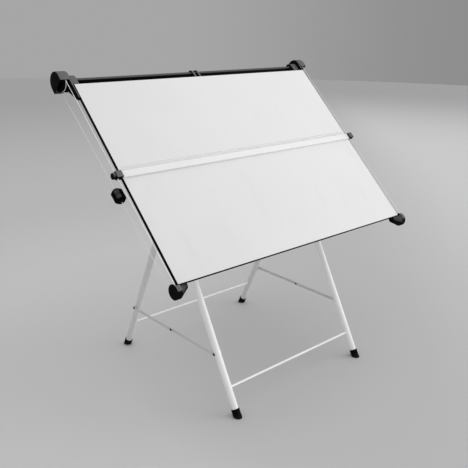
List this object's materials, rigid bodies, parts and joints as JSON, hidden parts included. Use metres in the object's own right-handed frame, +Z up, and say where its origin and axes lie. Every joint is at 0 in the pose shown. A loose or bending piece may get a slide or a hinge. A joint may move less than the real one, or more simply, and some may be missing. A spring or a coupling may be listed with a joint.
{
  "type": "drawing board",
  "caption": "Drawing board with a counterbalanced parallel ruler on wires and pulleys, held by tilt clamps on a folding stand of round tubes.",
  "frame": {"origin": "on the floor, midway between the four feet", "axes": "+X along the board to the right, +Y away from the draughtsman, +Z up"},
  "size_m": [1.361, 0.8271, 1.2853],
  "materials": {
    "painted_tube": "smooth white paint",
    "black_plate": "satin black paint",
    "plate_steel": "zinc plated",
    "bolt_steel": "zinc plated",
    "core_iron": "bare",
    "foot_rubber": "matte",
    "board_laminate": "matte white laminate on board",
    "band_plastic": "matte",
    "black_plastic": "fine grain",
    "wire_steel": "white coated steel wire",
    "ruler_white": "smooth white",
    "ruler_clear": "clear"
  },
  "bodies": {
    "rear_frame": {"rear_post_left": "painted_tube", "rear_post_right": "painted_tube", "rear_cross_rod": "painted_tube", "rear_cross_tube": "painted_tube", "rear_foot_left": "foot_rubber", "rear_foot_right": "foot_rubber", "post_plugs": "black_plastic", "fold_bracket_left": "black_plate", "fold_bracket_right": "black_plate", "fold_pins": "bolt_steel", "rear_frame_bolts": "black_plate", "tilt_bolts": "bolt_steel", "clamp_studs": "bolt_steel"},
    "front_frame": {"front_leg_left": "painted_tube", "front_leg_right": "painted_tube", "front_cross_rod": "painted_tube", "front_cross_tube": "painted_tube", "front_foot_left": "foot_rubber", "front_foot_right": "foot_rubber", "front_leg_plugs": "black_plastic", "front_stay_bolts": "black_plate"},
    "knob_left": {"tilt_knob_left": "black_plastic"},
    "knob_right": {"tilt_knob_right": "black_plastic"},
    "rear_stay_left": {"rear_stay_left": "painted_tube"},
    "rear_stay_right": {"rear_stay_right": "painted_tube"},
    "front_stay_left": {"front_stay_left": "painted_tube"},
    "front_stay_right": {"front_stay_right": "painted_tube"},
    "board": {"board_panel": "board_laminate", "edge_bands": "band_plastic", "rail_left": "painted_tube", "rail_right": "painted_tube", "inner_tilt_plates": "plate_steel", "quadrant_left": "plate_steel", "quadrant_right": "plate_steel", "board_screws": "bolt_steel", "top_bracket_left": "black_plastic", "top_bracket_right": "black_plastic", "bottom_bracket_left": "black_plastic", "bottom_bracket_right": "black_plastic", "top_cover_left": "black_plastic", "top_cover_right": "black_plastic", "bottom_cover_left": "black_plastic", "bottom_cover_right": "black_plastic", "bottom_axles": "bolt_steel", "shaft_bearing": "black_plastic", "wire_left": "wire_steel", "wire_right": "wire_steel"},
    "drive": {"shaft": "black_plate", "top_pulleys": "black_plastic"},
    "pulley_left": {"bottom_pulley_left": "black_plastic"},
    "pulley_right": {"bottom_pulley_right": "black_plastic"},
    "ruler": {"ruler_beam": "ruler_white", "ruler_strip": "ruler_clear", "ruler_block_left": "black_plastic", "ruler_block_right": "black_plastic"},
    "brake": {"brake_knob": "black_plastic"},
    "weight_left": {"weight_left": "black_plastic", "weight_core_left": "core_iron"},
    "weight_right": {"weight_right": "black_plastic", "weight_core_right": "core_iron"}
  },
  "joints": [
    {"name": "board_tilt", "type": "hinge", "parent": "rear_frame", "child": "board", "pos_m": [0, -0.00756, 0.9049], "axis": [1, 0, 0], "range_deg": [-43.8, 31.2]},
    {"name": "stand_fold", "type": "hinge", "parent": "rear_frame", "child": "front_frame", "pos_m": [0, 0.02107, 0.75656], "axis": [1, 0, 0], "range_deg": [0, 48]},
    {"name": "rear_stay_left_turn", "type": "hinge", "parent": "rear_frame", "child": "rear_stay_left", "pos_m": [-0.389, 0.29238, 0.229], "axis": [1, 0, 0], "range_deg": [-52.88, 0]},
    {"name": "rear_stay_right_turn", "type": "hinge", "parent": "rear_frame", "child": "rear_stay_right", "pos_m": [0.389, 0.29238, 0.229], "axis": [1, 0, 0], "range_deg": [-52.88, 0]},
    {"name": "front_stay_left_turn", "type": "hinge", "parent": "front_frame", "child": "front_stay_left", "pos_m": [-0.3855, -0.26837, 0.229], "axis": [1, 0, 0], "range_deg": [0, 63.01]},
    {"name": "front_stay_right_turn", "type": "hinge", "parent": "front_frame", "child": "front_stay_right", "pos_m": [0.3855, -0.26837, 0.229], "axis": [1, 0, 0], "range_deg": [0, 63.01]},
    {"name": "tilt_knob_left_turn", "type": "hinge", "parent": "rear_frame", "child": "knob_left", "pos_m": [-0.397, 0.02691, 0.82721], "axis": [1, 0, 0], "range_deg": [-180, 180]},
    {"name": "tilt_knob_right_turn", "type": "hinge", "parent": "rear_frame", "child": "knob_right", "pos_m": [0.397, 0.02691, 0.82721], "axis": [1, 0, 0], "range_deg": [-180, 180]},
    {"name": "ruler_slide", "type": "slide", "parent": "board", "child": "ruler", "axis": [0, 0.7218, 0.6921], "range_m": [-0.375, 0.32]},
    {"name": "brake_knob_turn", "type": "hinge", "parent": "ruler", "child": "brake", "pos_m": [-0.669, -0.04623, 0.94956], "axis": [1, 0, 0], "range_deg": [-180, 180]},
    {"name": "drive_turn", "type": "hinge", "parent": "board", "child": "drive", "pos_m": [0, 0.32737, 1.2448], "axis": [1, 0, 0], "range_deg": [-511.3, 598.8]},
    {"name": "bottom_pulley_left_turn", "type": "hinge", "parent": "board", "child": "pulley_left", "pos_m": [-0.6506, -0.37377, 0.60845], "axis": [1, 0, 0], "range_deg": [-942.2, 1103.8]},
    {"name": "bottom_pulley_right_turn", "type": "hinge", "parent": "board", "child": "pulley_right", "pos_m": [0.6506, -0.37377, 0.60845], "axis": [1, 0, 0], "range_deg": [-942.2, 1103.8]},
    {"name": "weight_left_slide", "type": "slide", "parent": "board", "child": "weight_left", "axis": [0, 0.7521, 0.6591], "range_m": [-0.32, 0.375]},
    {"name": "weight_right_slide", "type": "slide", "parent": "board", "child": "weight_right", "axis": [0, 0.7521, 0.6591], "range_m": [-0.32, 0.375]}
  ],
  "couplings": [
    {"joint": "rear_stay_left_turn", "follows": "stand_fold", "ratio": -1.0912},
    {"joint": "rear_stay_right_turn", "follows": "stand_fold", "ratio": -1.0912},
    {"joint": "front_stay_left_turn", "follows": "stand_fold", "ratio": 1.3023},
    {"joint": "front_stay_right_turn", "follows": "stand_fold", "ratio": 1.3023},
    {"joint": "drive_turn", "follows": "ruler_slide", "rad_per_m": -27.778},
    {"joint": "bottom_pulley_left_turn", "follows": "ruler_slide", "rad_per_m": -51.282},
    {"joint": "bottom_pulley_right_turn", "follows": "ruler_slide", "rad_per_m": -51.282},
    {"joint": "weight_left_slide", "follows": "ruler_slide", "ratio": -1},
    {"joint": "weight_right_slide", "follows": "ruler_slide", "ratio": -1}
  ]
}
